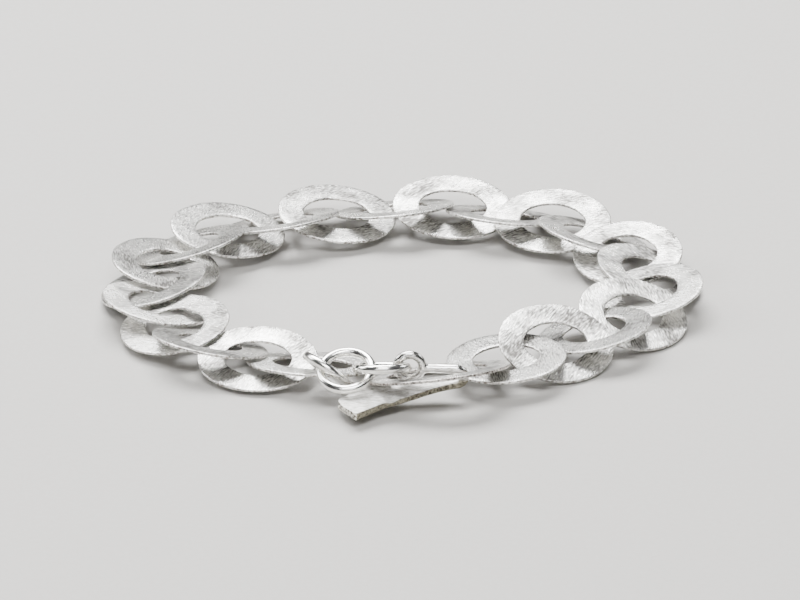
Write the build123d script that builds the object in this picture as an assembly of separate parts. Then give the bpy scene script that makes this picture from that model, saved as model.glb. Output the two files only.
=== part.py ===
from build123d import *
import math
import os
from collections import namedtuple

# A silver chain bracelet of flat oval rings, closed by a forged hook and lying on its side.
# Millimetres, Z up. The chain starts at the hook, at the front, and runs anticlockwise.
os.makedirs("parts", exist_ok=True)

# Flat rings, cut from sheet: overall length and width, and the width of the band
LINK_LENGTH = 15.0
LINK_WIDTH = 13.4
LINK_BAND = 3.4
CATCH_LENGTH = 18.0
CATCH_WIDTH = 16.0
CATCH_BAND = 3.0
END_LENGTH = 16.4
END_WIDTH = 13.6
END_BAND = 3.4
SHEET = 0.4

# Jump rings, round wire
JUMP_OUTSIDE = 7.3
JUMP_WIRE = 1.15

# Hook: a wire eye, a round shank, a bend and a forged tongue that runs back below the shank.
# EYE_FOOT is how far below level the shank leaves the eye, and BEND_LEAN how far the bend
# leans inwards, in degrees.
EYE_OUTSIDE = 4.2
EYE_WIRE = 1.1
EYE_FOOT = 8.0
SHANK_LENGTH = 5.5
SHANK_WIRE = 1.15
SHANK_DROP = 0.35
BEND_INSIDE = 1.15
BEND_LEAN = 12.0
TONGUE_LENGTH = 13.6
TONGUE_WIDTH = 5.2
TONGUE_THICK = 1.0
HOOK_TURN = 1.0

# The loop's centre line: depth over width, height over the surface, and how far the hook's
# eye sits to the right of the middle of the front
LOOP_DEPTH_SHARE = 0.80
LOOP_LIFT = 2.5
HOOK_STATION = 0.9
# The line starts at its right-hand end, so the middle of the front is this share of the way
FRONT_SHARE = 0.75

Flat = namedtuple("Flat", "length width band")
FLATS = {
    "link": Flat(LINK_LENGTH, LINK_WIDTH, LINK_BAND),
    "catch": Flat(CATCH_LENGTH, CATCH_WIDTH, CATCH_BAND),
    "end": Flat(END_LENGTH, END_WIDTH, END_BAND),
}

# How each piece lies. step: share of the taut distance from the piece before it.
# side and lift: shares of LINK_WIDTH, outwards from the line and above LOOP_LIFT.
# roll: outer rim up. pitch: leading end up. turn: leading end outwards. All in degrees.
Lie = namedtuple("Lie", "name kind step roll pitch turn side lift")
CHAIN = [
    Lie("hook", "hook", 0.95, 0, 0, 1, 0.32, 0.17),
    Lie("catch_link", "catch", 0.29, 18, 5, 0, 0.14, 0.02),
    Lie("link_01", "link", 0.92, -1, 2, -5, -0.02, 0.02),
    Lie("link_02", "link", 0.95, -23, 0, 0, -0.09, 0.03),
    Lie("link_03", "link", 0.88, 9, 4, 4, -0.11, 0.01),
    Lie("link_04", "link", 0.91, -19, 3, 8, -0.02, 0.00),
    Lie("link_05", "link", 0.85, 10, 3, 5, 0.02, 0.02),
    Lie("link_06", "link", 0.77, -16, 4, 0, 0.05, 0.00),
    Lie("link_07", "link", 0.78, 11, 4, 0, 0.03, 0.01),
    Lie("link_08", "link", 0.84, -17, 3, 0, 0.03, 0.01),
    Lie("link_09", "link", 0.84, 12, 2.5, 0, 0.06, 0.015),
    Lie("link_10", "link", 0.82, -16, 0, 0, 0.045, -0.02),
    Lie("link_11", "link", 0.83, 12, 3, -4, 0.05, 0.01),
    Lie("link_12", "link", 0.92, -16, -3, -7, -0.01, 0.00),
    Lie("link_13", "link", 0.94, 10, 6, -2, -0.08, 0.01),
    Lie("link_14", "link", 0.94, -17, -3, 4, -0.05, 0.00),
    Lie("link_15", "link", 0.93, 10, 6, 4, 0.01, 0.01),
    Lie("link_16", "link", 0.85, -18, 0, 0, 0.01, 0.02),
    Lie("link_17", "link", 0.80, 11, 4, 0, 0.00, 0.01),
    Lie("link_18", "link", 0.76, -15, 4, 0, 0.01, 0.00),
    Lie("link_19", "link", 0.76, 12, 3, 0, 0.02, 0.00),
    Lie("link_20", "link", 0.84, -13, 2, 3, 0.04, 0.00),
    Lie("link_21", "link", 0.88, 15, 1, -3, 0.06, 0.005),
    Lie("link_22", "link", 0.85, -12, -1, -8, 0.02, -0.035),
    Lie("end_link", "end", 0.78, 12, 3, 2, -0.10, -0.05),
    Lie("jump_ring_1", "jump", 0.46, 29, -32, -1, 0.24, 0.065),
    Lie("jump_ring_2", "jump", 0.485, -23, 0.5, 1, 0.357, 0.128),
    Lie("jump_ring_3", "jump", 0.825, 21, 1.5, -3, 0.335, 0.162),
]

# The tongue's cross sections, from the bend to the tip. It widens up to the crease, the
# section before the last, and the flared tip is a straight piece beyond that.
# along: share of TONGUE_LENGTH. width: share of TONGUE_WIDTH.
# thick and corner: shares of TONGUE_THICK, corner being the radius of the edges.
# sway: towards the outside of the loop, share of TONGUE_WIDTH.
# drop: downwards, share of TONGUE_THICK. turn: of the section's face, in degrees.
Section = namedtuple("Section", "along width thick corner sway drop turn")
TONGUE = [
    Section(0.00, 0.22, 1.10, 0.50, 0.00, 0.00, 0),
    Section(0.19, 0.46, 0.90, 0.20, 0.08, 0.12, 8),
    Section(0.37, 0.64, 0.85, 0.16, 0.25, 0.25, 12),
    Section(0.53, 0.83, 0.85, 0.14, 0.40, 0.36, 13),
    Section(0.70, 1.00, 0.90, 0.12, 0.52, 0.44, 17),
    Section(1.00, 0.93, 1.05, 0.12, 1.20, 0.60, 33),
]


def reach(kind, leading):
    """Distance from a piece's centre to the inside of its hole, along the chain."""
    if kind == "jump":
        return JUMP_OUTSIDE / 2 - JUMP_WIRE
    if kind == "hook":
        return SHANK_LENGTH if leading else EYE_OUTSIDE / 2 - EYE_WIRE
    return FLATS[kind].length / 2 - FLATS[kind].band


def taut_step(before, piece):
    """Distance between two neighbours pulled tight, metal against metal."""
    return reach(before.kind, True) + reach(piece.kind, False) - SHEET


def stations():
    """Distance of each piece along the loop, and the loop's whole length."""
    steps = [lie.step * taut_step(CHAIN[number - 1], lie) for number, lie in enumerate(CHAIN)]
    found = [sum(steps[1:number + 1]) for number in range(len(CHAIN))]
    return found, sum(steps)


def loop_line(length):
    """An oval of the given length, wider than deep."""
    unit = Edge.make_ellipse(1.0, LOOP_DEPTH_SHARE)
    size = length / unit.length
    return Edge.make_ellipse(size, size * LOOP_DEPTH_SHARE)


def seat(line, length, station, lie):
    """The place and attitude of one piece: X along the chain, Y inwards, Z up."""
    share = (FRONT_SHARE + (HOOK_STATION + station) / length) % 1.0
    plane = Plane(origin=line.position_at(share), x_dir=line.tangent_at(share), z_dir=(0, 0, 1))
    shift = Pos(0, -lie.side * LINK_WIDTH, LOOP_LIFT + lie.lift * LINK_WIDTH)
    return Location(plane) * shift * Rot(Z=-lie.turn) * Rot(Y=-lie.pitch) * Rot(X=-lie.roll)


def flat_ring(size):
    """An oval washer of sheet, centred on its own origin."""
    outline = Ellipse(size.length / 2, size.width / 2)
    hole = Ellipse(size.length / 2 - size.band, size.width / 2 - size.band)
    return extrude(outline - hole, SHEET / 2, both=True)


def wire_ring(outside, wire):
    """A closed ring of round wire, flat on its own origin."""
    return Torus((outside - wire) / 2, wire / 2)


def shank_path(foot, top, sideways):
    """The wire's middle line, from the eye along the shank and round the bend."""
    run = (top - foot).normalized()
    radius = (BEND_INSIDE + SHANK_WIRE) / 2
    low = top + sideways * (2 * radius)
    far = top + sideways * radius + run * radius
    return Wire([Edge.make_line(foot, top), Edge.make_three_point_arc(top, far, low)]), low


def tongue(low):
    """The forged blade, from the end of the bend to the flared tip."""
    blanks = []
    for row in TONGUE:
        middle = low + Vector(-row.along * TONGUE_LENGTH, -row.sway * TONGUE_WIDTH,
                              -row.drop * TONGUE_THICK)
        facing = Vector(-1, 0, 0).rotate(Axis.Z, row.turn)
        plane = Plane(origin=middle, x_dir=facing.cross(Vector(0, 0, 1)), z_dir=facing)
        blanks.append(plane * RectangleRounded(row.width * TONGUE_WIDTH, row.thick * TONGUE_THICK,
                                               row.corner * TONGUE_THICK))
    return loft(blanks[:-1]) + loft(blanks[-2:])


def hook():
    """One piece: the eye stands upright, the shank falls to the bend, the tongue lies flat."""
    eye = Rot(X=90) * wire_ring(EYE_OUTSIDE, EYE_WIRE)
    eye_radius = (EYE_OUTSIDE - EYE_WIRE) / 2
    angle = math.radians(EYE_FOOT)
    foot = Vector(eye_radius * math.cos(angle), 0, -eye_radius * math.sin(angle))
    top = Vector(SHANK_LENGTH, 0, -SHANK_DROP)
    lean = math.radians(BEND_LEAN)
    path, low = shank_path(foot, top, Vector(0, math.sin(lean), -math.cos(lean)))
    wire_face = Plane(origin=foot, z_dir=top - foot) * Circle(SHANK_WIRE / 2)
    shank = sweep(wire_face, path=path)
    return Rot(Z=HOOK_TURN) * (eye + shank + tongue(low))


def make_piece(lie):
    if lie.kind == "hook":
        return hook()
    if lie.kind == "jump":
        return wire_ring(JUMP_OUTSIDE, JUMP_WIRE)
    return flat_ring(FLATS[lie.kind])


def centred(pieces):
    """The pieces moved so that the middle of the whole's base is at the origin."""
    boxes = [piece.bounding_box() for piece in pieces.values()]
    west, east = min(box.min.X for box in boxes), max(box.max.X for box in boxes)
    south, north = min(box.min.Y for box in boxes), max(box.max.Y for box in boxes)
    base = min(box.min.Z for box in boxes)
    move = Pos(-(west + east) / 2, -(south + north) / 2, -base)
    print("moved by", [round(value, 3) for value in move.position])
    return {name: move * piece for name, piece in pieces.items()}


places, loop_length = stations()
line = loop_line(loop_length)
laid = {}
for lie, station in zip(CHAIN, places):
    laid[lie.name] = seat(line, loop_length, station, lie) * make_piece(lie)
pieces = centred(laid)

print("loop length", round(loop_length, 1), "pieces", len(pieces))
for name, piece in pieces.items():
    export_step(piece, "parts/" + name + ".step")
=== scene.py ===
# %% [markdown]
# # A silver chain bracelet with a forged hook
# The bracelet is a closed loop of flat oval rings, cut from thin silver sheet and linked
# through each other. Three round-wire rings and a forged hook close it. It lies on its side
# on a table. This lesson dresses the solid model of it: each piece is made again with
# softened edges and small signs of handwork, and gets a silver that fits how it was worked.

# %% Load the frame
import math
import random

import bmesh
import bpy
import numpy as np
from mathutils import Matrix, Vector, noise


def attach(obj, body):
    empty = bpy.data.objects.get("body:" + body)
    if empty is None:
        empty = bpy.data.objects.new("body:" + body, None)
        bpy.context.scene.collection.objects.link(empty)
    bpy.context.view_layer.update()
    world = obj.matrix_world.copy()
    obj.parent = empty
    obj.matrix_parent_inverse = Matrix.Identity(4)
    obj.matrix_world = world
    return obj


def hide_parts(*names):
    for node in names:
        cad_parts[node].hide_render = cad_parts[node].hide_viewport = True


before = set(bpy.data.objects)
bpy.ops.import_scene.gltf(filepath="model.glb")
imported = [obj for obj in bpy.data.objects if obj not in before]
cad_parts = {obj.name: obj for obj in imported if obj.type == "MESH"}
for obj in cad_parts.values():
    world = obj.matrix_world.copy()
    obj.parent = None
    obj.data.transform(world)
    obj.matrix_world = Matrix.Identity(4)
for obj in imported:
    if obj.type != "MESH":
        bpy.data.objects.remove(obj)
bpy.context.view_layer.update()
print("frame loaded with", len(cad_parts), "solids")

# %% [markdown]
# ## Where the camera stands
# A small object was photographed from well back with a long lens, so near and far links keep
# almost the same scale. A camera 1.6 m away gives that flatness. It looks down at 24 degrees,
# and the lens is worked out so that the picture is 97.6 mm wide at the bracelet.

# %% Camera
MM = 0.001
CAMERA_DISTANCE = 1600 * MM
CAMERA_ELEVATION = math.radians(24)
PICTURE_WIDTH = 97.6 * MM
SENSOR_WIDTH = 36
AIM = Vector((-0.23, 3.08, 0.75)) * MM


def place_object(name, data):
    """A new object for this data, linked to the scene."""
    placed = bpy.data.objects.new(name, data)
    bpy.context.scene.collection.objects.link(placed)
    return placed


camera_data = bpy.data.cameras.new("camera")
camera_data.sensor_width = SENSOR_WIDTH
camera_data.lens = SENSOR_WIDTH * CAMERA_DISTANCE / PICTURE_WIDTH
camera = place_object("camera", camera_data)
back = Vector((0, -math.cos(CAMERA_ELEVATION), math.sin(CAMERA_ELEVATION)))
camera.location = AIM + back * CAMERA_DISTANCE
camera.rotation_euler = (-back).to_track_quat("-Z", "Y").to_euler()
bpy.context.scene.camera = camera
print("lens", round(camera_data.lens), "mm")

# %% [markdown]
# ## Colours and nodes
# Colours are written as the sRGB hex values that a colour picker shows, and one function turns
# them into the linear values that the renderer works with. One more function adds a node, sets
# it and wires it, so that each material reads as a short list of steps.

# %% Colour and node helpers
def linear(code):
    """An sRGB hex colour as a linear one with full alpha."""
    shares = [int(code[at:at + 2], 16) / 255 for at in (1, 3, 5)]
    return [c / 12.92 if c <= 0.04045 else ((c + 0.055) / 1.055) ** 2.4 for c in shares] + [1.0]


def add(tree, kind, wires=None, **settings):
    """Adds one node. wires: input name or number to a value or to another node's output."""
    node = tree.nodes.new(kind)
    for name, value in settings.items():
        setattr(node, name, value)
    for name, value in (wires or {}).items():
        if isinstance(value, bpy.types.NodeSocket):
            tree.links.new(value, node.inputs[name])
        else:
            node.inputs[name].default_value = value
    return node


def new_material(name):
    """A material and its node tree, which is empty."""
    made = bpy.data.materials.new(name)
    made.use_nodes = True
    made.node_tree.nodes.clear()
    return made, made.node_tree


def finish_metal(tree, colour, roughness, bump, metallic=1.0):
    """A metal surface. What varies over it comes as another node's output."""
    shader = add(tree, "ShaderNodeBsdfPrincipled",
                 {"Base Color": colour, "Metallic": metallic, "Roughness": roughness, "Normal": bump})
    add(tree, "ShaderNodeOutputMaterial", {"Surface": shader.outputs[0]})


print("white is", linear("#FFFFFF"))

# %% [markdown]
# ## Scratch-brushed silver sheet
# Sterling silver that was rubbed with a stiff brush or coarse paper has a matt, slightly warm
# white face with a grain of fine straight scratches. The scratches on the real rings are about
# 0.05 mm wide. That is finer than the picture can show, so they are drawn about 0.2 mm apart.
# A second set crosses the first at an angle, and cloudy patches a few millimetres wide change
# the tone, as where the brush pressed harder. The pattern follows each ring's own flat UV map,
# which is in millimetres and whose U direction is the way the brush went.

# %% Brushed silver material
# How many spots of each pattern lie in a millimetre, along the scratches and across them
GRAIN_PER_MM = (1.2, 5.8, 1)
CROSS_PER_MM = (1.3, 4.8, 1)
PATCHES_PER_MM = 0.20
CROSS_ANGLE = math.radians(31)


def brushed_silver(name, dark, light, smooth, rough):
    """Silver sheet with two sets of scratches, whose hollows are dark and rough."""
    made, tree = new_material(name)
    place = add(tree, "ShaderNodeUVMap", uv_map="lay").outputs[0]
    grain_place = add(tree, "ShaderNodeMapping", {"Vector": place, "Scale": GRAIN_PER_MM})
    grain = add(tree, "ShaderNodeTexNoise",
                {"Vector": grain_place.outputs[0], "Scale": 1.0, "Detail": 3.0, "Roughness": 0.6})
    cross_place = add(tree, "ShaderNodeMapping",
                      {"Vector": place, "Rotation": (0, 0, CROSS_ANGLE), "Scale": CROSS_PER_MM})
    cross = add(tree, "ShaderNodeTexNoise",
                {"Vector": cross_place.outputs[0], "Scale": 1.0, "Detail": 3.0, "Roughness": 0.6})
    patch = add(tree, "ShaderNodeTexNoise", {"Vector": place, "Scale": PATCHES_PER_MM, "Detail": 2.0})
    both = add(tree, "ShaderNodeMath", {0: grain.outputs[0], 1: cross.outputs[0]}, operation="MULTIPLY")
    tone = add(tree, "ShaderNodeMix",
               {"Factor": 0.42, "A": both.outputs[0], "B": patch.outputs[0]}, data_type="FLOAT")
    colour = add(tree, "ShaderNodeValToRGB", {"Fac": tone.outputs[0]})
    for stop, at, code in zip(colour.color_ramp.elements, (0.28, 0.42), (dark, light)):
        stop.position = at
        stop.color = linear(code)
    roughness = add(tree, "ShaderNodeMapRange",
                    {"Value": tone.outputs[0], "From Min": 0.28, "From Max": 0.44,
                     "To Min": rough, "To Max": smooth})
    bump = add(tree, "ShaderNodeBump",
               {"Height": both.outputs[0], "Strength": 0.85, "Distance": 0.16 * MM})
    finish_metal(tree, colour.outputs[0], roughness.outputs[0], bump.outputs[0])
    return made


sheet_silver = brushed_silver("scratch_brushed_silver", "#5C5A57", "#FDFCF8", 0.25, 0.44)
print("made", sheet_silver.name)

# %% [markdown]
# ## Cut edges and polished wire
# The rims of the rings were sawn and only lightly filed, so they catch a thin bright line of
# light that darker saw marks break up. The catch link's rim is coarser and keeps a brownish
# stain. The jump rings are drawn wire, polished to a soft shine, with faint waves left by the
# polishing wheel that bend the reflections. The hook's tip is where the bar was snapped off,
# coarse and partly dark. One recipe makes them all, and only its numbers differ. The patterns
# use object coordinates, since a noise in space has no direction to follow.

# %% Filed and polished silver
def worked_silver(name, dark, light, smooth, rough, wave_mm, depth_mm):
    """Silver with marks of one size in every direction, wave_mm wide and depth_mm deep."""
    made, tree = new_material(name)
    place = add(tree, "ShaderNodeTexCoord").outputs["Object"]
    wave = add(tree, "ShaderNodeTexNoise",
               {"Vector": place, "Scale": 1 / (wave_mm * MM), "Detail": 3.0, "Roughness": 0.55})
    roughness = add(tree, "ShaderNodeMapRange",
                    {"Value": wave.outputs[0], "From Min": 0.3, "From Max": 0.7,
                     "To Min": smooth, "To Max": rough})
    bump = add(tree, "ShaderNodeBump",
               {"Height": wave.outputs[0], "Strength": 0.5, "Distance": depth_mm * MM})
    colour = add(tree, "ShaderNodeValToRGB", {"Fac": wave.outputs[0]})
    for stop, at, code in zip(colour.color_ramp.elements, (0.35, 0.60), (dark, light)):
        stop.position = at
        stop.color = linear(code)
    finish_metal(tree, colour.outputs[0], roughness.outputs[0], bump.outputs[0])
    return made


edge_silver = worked_silver("filed_silver_edge", "#8A837C", "#FDFCF9", 0.26, 0.45, 0.35, 0.05)
sawn_silver = worked_silver("sawn_silver_rim", "#4F4541", "#E4DFD9", 0.30, 0.55, 0.30, 0.08)
wire_silver = worked_silver("polished_silver_wire", "#EFEDE7", "#FCFBF8", 0.13, 0.27, 0.9, 0.06)
tip_silver = worked_silver("snapped_silver_tip", "#4E4A3E", "#F4F1E8", 0.22, 0.50, 0.42, 0.16)
print("made", edge_silver.name, sawn_silver.name, wire_silver.name, tip_silver.name)

# %% [markdown]
# ## Forged silver
# The hook was hammered out of bar and cleaned in acid, which leaves a frosted white skin on
# top. Such a skin scatters light as well as reflecting it, so it is only partly metallic. The
# sides have a yellowish grey skin from the fire, painted much darker than the top as painted
# shade, and both are streaked by the file. Which of the two tones a face gets is chosen by
# which way the surface faces, which stays the same from any camera. The eye and the shank,
# above WIRE_FROM, are bright wire all round.

# %% Forged silver material
WIRE_FROM = 3.1 * MM
WIRE_FADE = 0.3 * MM
DENT_WIDTH = 1.6 * MM
GRAIN_WIDTH = 0.34 * MM
STREAK_ANGLE = math.radians(62)


def forged_silver():
    """The hook's silver: a frosted top, streaked sides painted darker as shade, and bright wire."""
    made, tree = new_material("forged_silver")
    place = add(tree, "ShaderNodeTexCoord").outputs["Object"]
    dent = add(tree, "ShaderNodeTexNoise", {"Vector": place, "Scale": 1 / DENT_WIDTH, "Detail": 2.0})
    strokes = add(tree, "ShaderNodeMapping",
                  {"Vector": place, "Rotation": (0, 0, STREAK_ANGLE), "Scale": (0.35, 1.6, 1.0)})
    grain = add(tree, "ShaderNodeTexNoise",
                {"Vector": strokes.outputs[0], "Scale": 1 / GRAIN_WIDTH, "Detail": 4.0, "Roughness": 0.7})
    height = add(tree, "ShaderNodeSeparateXYZ", {0: place}).outputs["Z"]
    wire = add(tree, "ShaderNodeMapRange",
               {"Value": height, "From Min": WIRE_FROM - WIRE_FADE,
                "From Max": WIRE_FROM + WIRE_FADE}).outputs[0]
    # Faces turned up get the top colour, the rest get the side colour, which is painted shade
    facing = add(tree, "ShaderNodeSeparateXYZ",
                 {0: add(tree, "ShaderNodeNewGeometry").outputs["Normal"]}).outputs["Z"]
    upward = add(tree, "ShaderNodeMapRange", {"Value": facing, "From Min": 0.45, "From Max": 0.9})
    lit_top_or_wire = add(tree, "ShaderNodeMath", {0: upward.outputs[0], 1: wire}, operation="MAXIMUM")
    streak = add(tree, "ShaderNodeMapRange",
                 {"Value": grain.outputs[0], "From Min": 0.36, "From Max": 0.60})
    top = add(tree, "ShaderNodeMix",
              {"Factor": streak.outputs[0], "A": linear("#ABA8A1"), "B": linear("#FFFEFC")},
              data_type="RGBA")
    # Side colour: a yellowish skin, painted much darker as shade on faces not turned up
    side_skin_and_shade = add(tree, "ShaderNodeMix",
               {"Factor": streak.outputs[0], "A": linear("#2B271E"), "B": linear("#A39D8A")},
               data_type="RGBA")
    colour = add(tree, "ShaderNodeMix",
                 {"Factor": lit_top_or_wire.outputs[0], "A": side_skin_and_shade.outputs["Result"], "B": top.outputs["Result"]},
                 data_type="RGBA")
    satin = add(tree, "ShaderNodeMapRange",
                {"Value": grain.outputs[0], "From Min": 0.3, "From Max": 0.7,
                 "To Min": 0.56, "To Max": 0.74})
    roughness = add(tree, "ShaderNodeMix",
                    {"Factor": wire, "A": satin.outputs[0], "B": 0.18}, data_type="FLOAT")
    dents = add(tree, "ShaderNodeBump",
                {"Height": dent.outputs[0], "Strength": 0.4, "Distance": 0.07 * MM})
    bump = add(tree, "ShaderNodeBump",
               {"Height": grain.outputs[0], "Strength": 0.6, "Distance": 0.05 * MM,
                "Normal": dents.outputs[0]})
    metallic = add(tree, "ShaderNodeMapRange", {"Value": wire, "To Min": 0.4, "To Max": 1.0})
    finish_metal(tree, colour.outputs["Result"], roughness.outputs[0], bump.outputs[0],
                 metallic.outputs[0])
    return made


hook_silver = forged_silver()
print("made", hook_silver.name)

# %% [markdown]
# ## Where each ring lies
# The solids already lie as the chain fell, so nothing is placed by hand. For a flat ring the
# spread of its surface tells its axes: widest along the ring, less across it and least through
# the sheet. Each new ring is modelled flat, in millimetres, and then carried to that place.

# %% Read a solid's own axes
def lie_of(node):
    """The matrix that carries a flat piece in millimetres to where the solid lies."""
    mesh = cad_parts[node].data
    mesh.calc_loop_triangles()
    points = np.array([vertex.co for vertex in mesh.vertices])
    corners = points[np.array([triangle.vertices for triangle in mesh.loop_triangles])]
    areas = np.linalg.norm(np.cross(corners[:, 1] - corners[:, 0], corners[:, 2] - corners[:, 0]), axis=1)
    middles = corners.mean(axis=1)
    centre = (middles * areas[:, None]).sum(axis=0) / areas.sum()
    spread = ((middles - centre) * areas[:, None]).T @ (middles - centre)
    through, across, along = np.linalg.eigh(spread)[1].T
    along = Vector(along * np.sign(along[0]))
    through = Vector(through * np.sign(through[2]))
    turned = Matrix((along, through.cross(along), through)).transposed().to_4x4()
    return Matrix.Translation(Vector(centre)) @ turned @ Matrix.Scale(MM, 4)


print("catch link lies at", [round(v / MM, 1) for v in lie_of("catch_link").translation])

# %% [markdown]
# ## From a bmesh to a finished piece
# A shape is built as a bmesh, which is quick to cut and bend. When it is done it becomes an
# object that shades smoothly and stands for its solid. The small unevenness of handwork comes
# from one smooth noise, which gives the same values on each run.

# %% Finish a piece
def unevenness(place):
    """A smooth noise between about 0 and 1."""
    return 0.5 + 0.5 * noise.noise(place)


def hand_over(bm, name, node, materials):
    """Makes the object from a bmesh and hands it to the frame in place of its solid."""
    bmesh.ops.recalc_face_normals(bm, faces=bm.faces)
    mesh = bpy.data.meshes.new(name)
    bm.to_mesh(mesh)
    bm.free()
    piece = place_object(name, mesh)
    for material in materials:
        mesh.materials.append(material)
    mesh.polygons.foreach_set("use_smooth", [True] * len(mesh.polygons))
    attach(piece, "root")
    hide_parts(node)
    return piece


print("unevenness at one spot", round(unevenness(Vector((0.3, 0.4, 0.5))), 2))

# %% [markdown]
# ## The flat oval rings
# Each ring is two ovals bridged into a band, extruded to the thickness of the sheet, with its
# four rims bevelled as filing leaves them. Rings cut by hand are never quite oval, so the
# outline and the hole wander a little, with the small steps of a saw on top. They always
# wander towards the middle of the band, which keeps each ring inside its solid and clear of
# its neighbours. The face dips slightly as well.

# %% Flat ring sizes
# Millimetres. Each size is a length, a width and the width of the band.
SIZES = {"link": (15.0, 13.4, 3.4), "catch_link": (18.0, 16.0, 3.0), "end_link": (16.4, 13.6, 3.4)}
SHEET = 0.4
RIM_BEVEL = 0.11
OUTLINE_DEPTH = 0.16
SAW_DEPTH = 0.07
FACE_DIP = 0.05
# Edges round an oval, and cuts across the band
SEGMENTS = 144
BAND_CUTS = 4
# Edges that turn by more than this, in radians, are the rims
RIM_ANGLE = 1.0
# How fine the noise is: for the broad wander and the saw's steps on a circle of radius 1, and
# for the dips in a face per millimetre
BROAD_WAVES = 1.8
SAW_WAVES = 14.0
DIPS_PER_MM = 0.45
print(len(SIZES), "sizes of flat ring")

# %% Cut the band
def oval(bm, length, width):
    """One oval of edges."""
    ring = bmesh.ops.create_circle(bm, cap_ends=False, segments=SEGMENTS, radius=1.0)["verts"]
    bmesh.ops.scale(bm, vec=(length / 2, width / 2, 1.0), verts=ring)
    return ring, [edge for edge in bm.edges if edge.verts[0] in ring]


def wander(angle, seed):
    """How far the cut strays: a broad wave that closes on itself, and the saw's small steps."""
    at = Vector((math.cos(angle), math.sin(angle), 0))
    broad = unevenness(at * BROAD_WAVES + Vector((0, 0, seed * 1.4)))
    sawn = unevenness(at * SAW_WAVES + Vector((0, 0, seed * 3.1)))
    return OUTLINE_DEPTH * broad + SAW_DEPTH * sawn


def flat_band(length, width, band, seed):
    """The band with its outline and hole cut by hand, and cuts across it for the dips."""
    bm = bmesh.new()
    outer, outer_edges = oval(bm, length, width)
    inner, inner_edges = oval(bm, length - 2 * band, width - 2 * band)
    for ring, sign in ((outer, -1), (inner, 1)):
        for vertex in ring:
            angle = math.atan2(vertex.co.y, vertex.co.x)
            vertex.co += vertex.co.normalized() * sign * wander(angle, seed + sign)
    bmesh.ops.bridge_loops(bm, edges=outer_edges + inner_edges)
    across = [edge for edge in bm.edges if edge not in outer_edges and edge not in inner_edges]
    bmesh.ops.subdivide_edges(bm, edges=across, cuts=BAND_CUTS)
    return bm


def thicken(bm):
    """Gives the band the sheet's thickness and bevels its four rims."""
    bmesh.ops.translate(bm, verts=bm.verts, vec=(0, 0, -SHEET / 2))
    made = bmesh.ops.extrude_face_region(bm, geom=bm.faces[:], use_keep_orig=True)["geom"]
    lifted = [part for part in made if isinstance(part, bmesh.types.BMVert)]
    bmesh.ops.translate(bm, verts=lifted, vec=(0, 0, SHEET))
    bmesh.ops.recalc_face_normals(bm, faces=bm.faces)
    rims = [edge for edge in bm.edges if edge.calc_face_angle(0) > RIM_ANGLE]
    bmesh.ops.bevel(bm, geom=rims, affect="EDGES", offset=RIM_BEVEL, segments=3, profile=0.5,
                    material=-1)


def dip_faces(bm, seed):
    """Lets both faces dip slightly, where the sheet isn't quite even."""
    for vertex in bm.verts:
        dip = FACE_DIP * unevenness(Vector((vertex.co.x, vertex.co.y, seed)) * DIPS_PER_MM)
        vertex.co.z -= math.copysign(dip, vertex.co.z) * (abs(vertex.co.z) > SHEET / 4)
    bm.normal_update()


print("the cuts stray by", round(wander(0.0, 1), 2), "mm at one spot")

# %% [markdown]
# The UV map is what the brushed silver follows. On the faces it is the flat position turned to
# the way this ring was brushed. On the catch link the brush went out from the hole, so there U
# is the distance from the middle. On the rims U runs round the ring.

# %% UV map for the brush direction
# Millimetres from a ring's middle to its band, which turns an angle into a distance
BAND_RADIUS = 6.0


def lay_uv(bm, brushed, shift, outwards):
    """Lays the map in millimetres, each ring's shifted to its own part of the pattern."""
    layer = bm.loops.layers.uv.new("lay")
    for face in bm.faces:
        flat = abs(face.normal.z) > 0.5
        for loop in face.loops:
            x, y, z = loop.vert.co
            far = math.hypot(x, y)
            round_ring = math.atan2(y, x) * BAND_RADIUS
            if not flat:
                place = (round_ring, z)
            elif outwards:
                place = (far, round_ring)
            else:
                place = (x * math.cos(brushed) + y * math.sin(brushed),
                         y * math.cos(brushed) - x * math.sin(brushed))
            loop[layer].uv = (place[0] + shift, place[1] + shift * 2)


print("once round a rim is about", round(2 * math.pi * BAND_RADIUS), "mm of the map")

# %% Cut all the flat rings
def flat_ring(node, seed):
    """A whole flat ring in the place of its solid."""
    chance = random.Random(seed)
    bm = flat_band(*SIZES.get(node, SIZES["link"]), seed)
    thicken(bm)
    dip_faces(bm, seed)
    lay_uv(bm, math.radians(chance.uniform(15, 75)), chance.uniform(0, 50), node == "catch_link")
    for face in bm.faces:
        brushed = abs(face.normal.z) > 0.9
        face.material_index = 0 if brushed else 1
    bm.transform(lie_of(node))
    rim_silver = sawn_silver if node == "catch_link" else edge_silver
    return hand_over(bm, node + "_ring", node, [sheet_silver, rim_silver])


flat_nodes = [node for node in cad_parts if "link" in node]
flat_rings = [flat_ring(node, seed) for seed, node in enumerate(sorted(flat_nodes))]
print(len(flat_rings), "flat rings,", sum(len(ring.data.polygons) for ring in flat_rings), "faces")

# %% [markdown]
# ## The jump rings
# A jump ring is wire wound round a rod, cut and soldered shut. A circle of the wire's section,
# spun once round the ring's middle, gives that shape directly.

# %% Spin the jump rings
# Millimetres. The slack keeps the skin just inside the solid.
JUMP_OUTSIDE = 7.3
JUMP_WIRE = 1.15
WIRE_SLACK = 0.01
# Edges round the wire, and steps round the ring
WIRE_SEGMENTS = 28
SPIN_STEPS = 112


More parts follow.
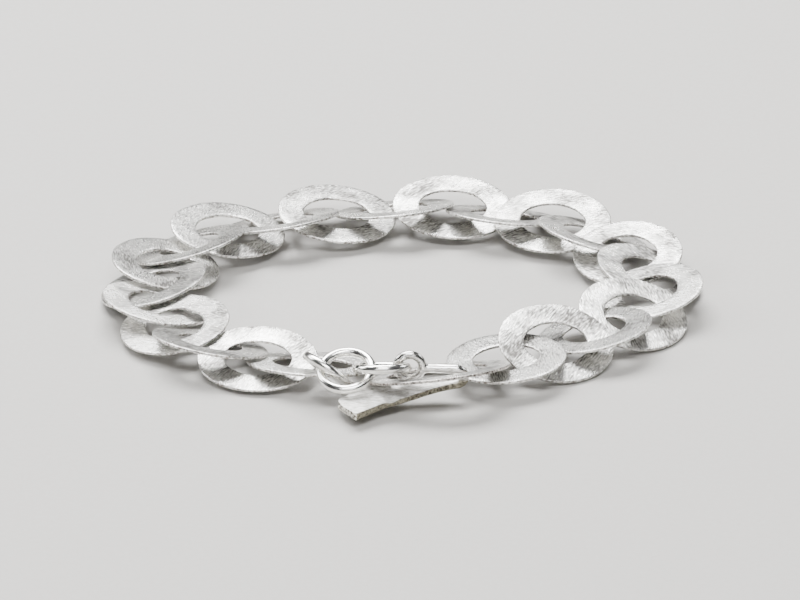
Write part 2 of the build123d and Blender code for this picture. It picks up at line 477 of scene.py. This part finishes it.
def jump_ring(node):
    """A ring of round wire in the place of its solid."""
    bm = bmesh.new()
    section = bmesh.ops.create_circle(bm, cap_ends=False, segments=WIRE_SEGMENTS,
                                      radius=JUMP_WIRE / 2 - WIRE_SLACK)["verts"]
    bmesh.ops.rotate(bm, verts=section, cent=(0, 0, 0), matrix=Matrix.Rotation(math.pi / 2, 3, "X"))
    bmesh.ops.translate(bm, verts=section, vec=((JUMP_OUTSIDE - JUMP_WIRE) / 2, 0, 0))
    bmesh.ops.spin(bm, geom=bm.verts[:] + bm.edges[:], cent=(0, 0, 0), axis=(0, 0, 1),
                   steps=SPIN_STEPS, angle=2 * math.pi, use_merge=True, use_duplicate=False)
    bm.transform(lie_of(node))
    return hand_over(bm, node + "_wire", node, [wire_silver])


jump_rings = [jump_ring(node) for node in sorted(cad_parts) if "jump" in node]
print(len(jump_rings), "jump rings")

# %% [markdown]
# ## The hook
# The hook is one forged piece: a wire eye soldered to a shank, which bends back into a flat
# tongue. Forging and solder leave no sharp corner where these meet. So a copy of the solid is
# remeshed in small cubes and smoothed, which rounds the joints and edges together, and its
# skin is then dented a little, inwards only, as a hammer leaves it.

# %% Fuse and soften the solid
VOXEL = 0.11 * MM
SAME_POINT = 0.0005 * MM


def fused_copy(node):
    """A copy of the solid as one closed skin of small cubes, smoothed."""
    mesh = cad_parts[node].data.copy()
    bm = bmesh.new()
    bm.from_mesh(mesh)
    bmesh.ops.remove_doubles(bm, verts=bm.verts, dist=SAME_POINT)
    bm.to_mesh(mesh)
    bm.free()
    blank = place_object("hook_blank", mesh)
    remesh = blank.modifiers.new("fuse", "REMESH")
    remesh.mode = "VOXEL"
    remesh.voxel_size = VOXEL
    soften = blank.modifiers.new("soften", "SMOOTH")
    soften.factor = 0.6
    soften.iterations = 5
    shaped = bpy.data.meshes.new_from_object(blank.evaluated_get(bpy.context.evaluated_depsgraph_get()))
    bpy.data.objects.remove(blank)
    bm = bmesh.new()
    bm.from_mesh(shaped)
    return bm


print("cubes are", round(VOXEL / MM, 2), "mm wide")

# %% [markdown]
# A shallow crease crosses the tongue where it flares, left by the edge of the hammer. The bar
# was snapped off beyond that, so four flat strokes and a coarse break leave the tip rough.

# %% Marks on the tongue
UP = Vector((0, 0, 1))
HAMMER_WIDTH = 1.9 * MM
HAMMER_DEPTH = 0.05 * MM
CREASE_AT = Vector((-2.6, -26.0, 0)) * MM
CREASE_ACROSS = Vector((-0.93, -0.36, 0))
CREASE_DEPTH = 0.20 * MM
CREASE_REACH = 0.55 * MM
TIP_HEADING = Vector((-0.84, -0.54, 0))
TIP_BACK = Vector((-0.54, 0.84, 0))
TIP_REACH = 1.2 * MM
TIP_CUTS = [
    (TIP_HEADING * 0.75 + TIP_BACK * 0.65, 0.75 * MM),
    (TIP_HEADING * 0.80 - UP * 0.60, 0.30 * MM),
    (TIP_HEADING * 0.70 + UP * 0.66 + TIP_BACK * 0.25, 0.22 * MM),
    (TIP_HEADING * 0.85 - TIP_BACK * 0.50, 0.30 * MM),
]
BREAK_DEPTH = 0.30 * MM
BREAK_REACH = 0.6 * MM
BREAK_WIDTH = 0.45 * MM


def furthest(bm, heading):
    """How far the mesh reaches along a heading."""
    return max(vertex.co.dot(heading) for vertex in bm.verts)


def crease(vertex):
    """How far the hammer's edge pushed this point of the tongue's face down."""
    away = (vertex.co - CREASE_AT).dot(CREASE_ACROSS) / CREASE_REACH
    on_face = vertex.co.z < WIRE_FROM and vertex.normal.z > 0.3
    return CREASE_DEPTH * math.exp(-away * away) if on_face else 0.0


def cut_tip(bm, heading, depth):
    """Flattens whatever reaches furthest along the heading, as one stroke of a file does."""
    heading = heading.normalized()
    limit = furthest(bm, heading) - depth
    for vertex in bm.verts:
        over = vertex.co.dot(heading) - limit
        if over > 0:
            vertex.co -= heading * over


def break_tip(bm):
    """Breaks up the last half millimetre or so, where the bar was snapped off."""
    tip = furthest(bm, TIP_HEADING)
    for vertex in bm.verts:
        near = 1 - (tip - vertex.co.dot(TIP_HEADING)) / BREAK_REACH
        if near > 0:
            chip = unevenness(vertex.co / BREAK_WIDTH)
            vertex.co -= TIP_HEADING * chip * near * BREAK_DEPTH


print(len(TIP_CUTS), "strokes flatten the tip")

# %% Forge the hook
def forged_hook(node):
    """The whole hook in the place of its solid."""
    bm = fused_copy(node)
    for vertex in bm.verts:
        depth = unevenness(vertex.co / HAMMER_WIDTH)
        vertex.co -= vertex.normal * depth * HAMMER_DEPTH + UP * crease(vertex)
    for heading, stroke in TIP_CUTS:
        cut_tip(bm, heading, stroke)
    break_tip(bm)
    bm.normal_update()
    tip_from = furthest(bm, TIP_HEADING) - TIP_REACH
    for face in bm.faces:
        on_tip = face.calc_center_median().dot(TIP_HEADING) > tip_from
        face.material_index = 1 if on_tip and face.normal.dot(TIP_HEADING) > 0.45 else 0
    return hand_over(bm, "forged_hook", node, [hook_silver, tip_silver])


hook = forged_hook("hook")
print("hook has", len(hook.data.polygons), "faces")

# %% [markdown]
# ## The table
# The bracelet lies on a plain pale table. Its matt paint has a faint fleck, so that the floor
# doesn't look like an empty background.

# %% Pale table
TABLE_HALF = 2.0
FLECK_WIDTH = 0.8 * MM


def pale_table():
    """Matt pale paint with a faint fleck."""
    made, tree = new_material("matt_pale_table")
    place = add(tree, "ShaderNodeTexCoord").outputs["Object"]
    fleck = add(tree, "ShaderNodeTexNoise", {"Vector": place, "Scale": 1 / FLECK_WIDTH, "Detail": 3.0})
    tone = add(tree, "ShaderNodeMix",
               {"Factor": fleck.outputs[0], "A": linear("#B2B0AC"), "B": linear("#BAB8B5")},
               data_type="RGBA")
    shader = add(tree, "ShaderNodeBsdfPrincipled",
                 {"Base Color": tone.outputs["Result"], "Roughness": 0.75})
    add(tree, "ShaderNodeOutputMaterial", {"Surface": shader.outputs[0]})
    return made


bm = bmesh.new()
bmesh.ops.create_grid(bm, x_segments=1, y_segments=1, size=TABLE_HALF)
table_mesh = bpy.data.meshes.new("table")
bm.to_mesh(table_mesh)
bm.free()
table_mesh.materials.append(pale_table())
table = place_object("table", table_mesh)
print("table is", round(table.dimensions.x, 1), "m wide")

# %% [markdown]
# ## The light
# Silver shows what is round it more than its own colour, so the lights are large and soft, as
# in a small studio. One wide light stands high behind, where the faces turned to the camera
# see it. A weaker one stands on each side for the rings at the ends of the loop, and two in
# front keep the far sides from going dark. The room itself is a dim grey that the other faces
# see. That gives each ring its own tone.

# %% Soft lights
def soft_light(name, azimuth, elevation, distance, size, watts):
    """A rectangular light that faces the bracelet. Azimuth 0 is behind it, 90 to its right."""
    turn, rise = math.radians(azimuth), math.radians(elevation)
    towards = Vector((math.sin(turn) * math.cos(rise), math.cos(turn) * math.cos(rise), math.sin(rise)))
    data = bpy.data.lights.new(name, "AREA")
    data.shape = "RECTANGLE"
    data.size, data.size_y = size
    data.energy = watts
    light = place_object(name, data)
    light.location = towards * distance
    light.rotation_euler = towards.to_track_quat("Z", "Y").to_euler()


soft_light("high_back_light", -18, 58, 0.7, (0.62, 0.36), 16.5)
soft_light("right_light", 58, 29, 0.8, (0.30, 0.18), 1.3)
soft_light("left_light", -72, 31, 0.7, (0.34, 0.24), 2.8)
soft_light("high_front_light", 176, 58, 0.8, (0.45, 0.25), 6.6)
soft_light("low_front_light", 180, 22, 0.9, (0.70, 0.22), 1.7)

world = bpy.data.worlds.new("grey_room")
world.use_nodes = True
room = world.node_tree.nodes["Background"].inputs
room["Color"].default_value = linear("#8C8D90")
room["Strength"].default_value = 0.28
bpy.context.scene.world = world
print("lights set")
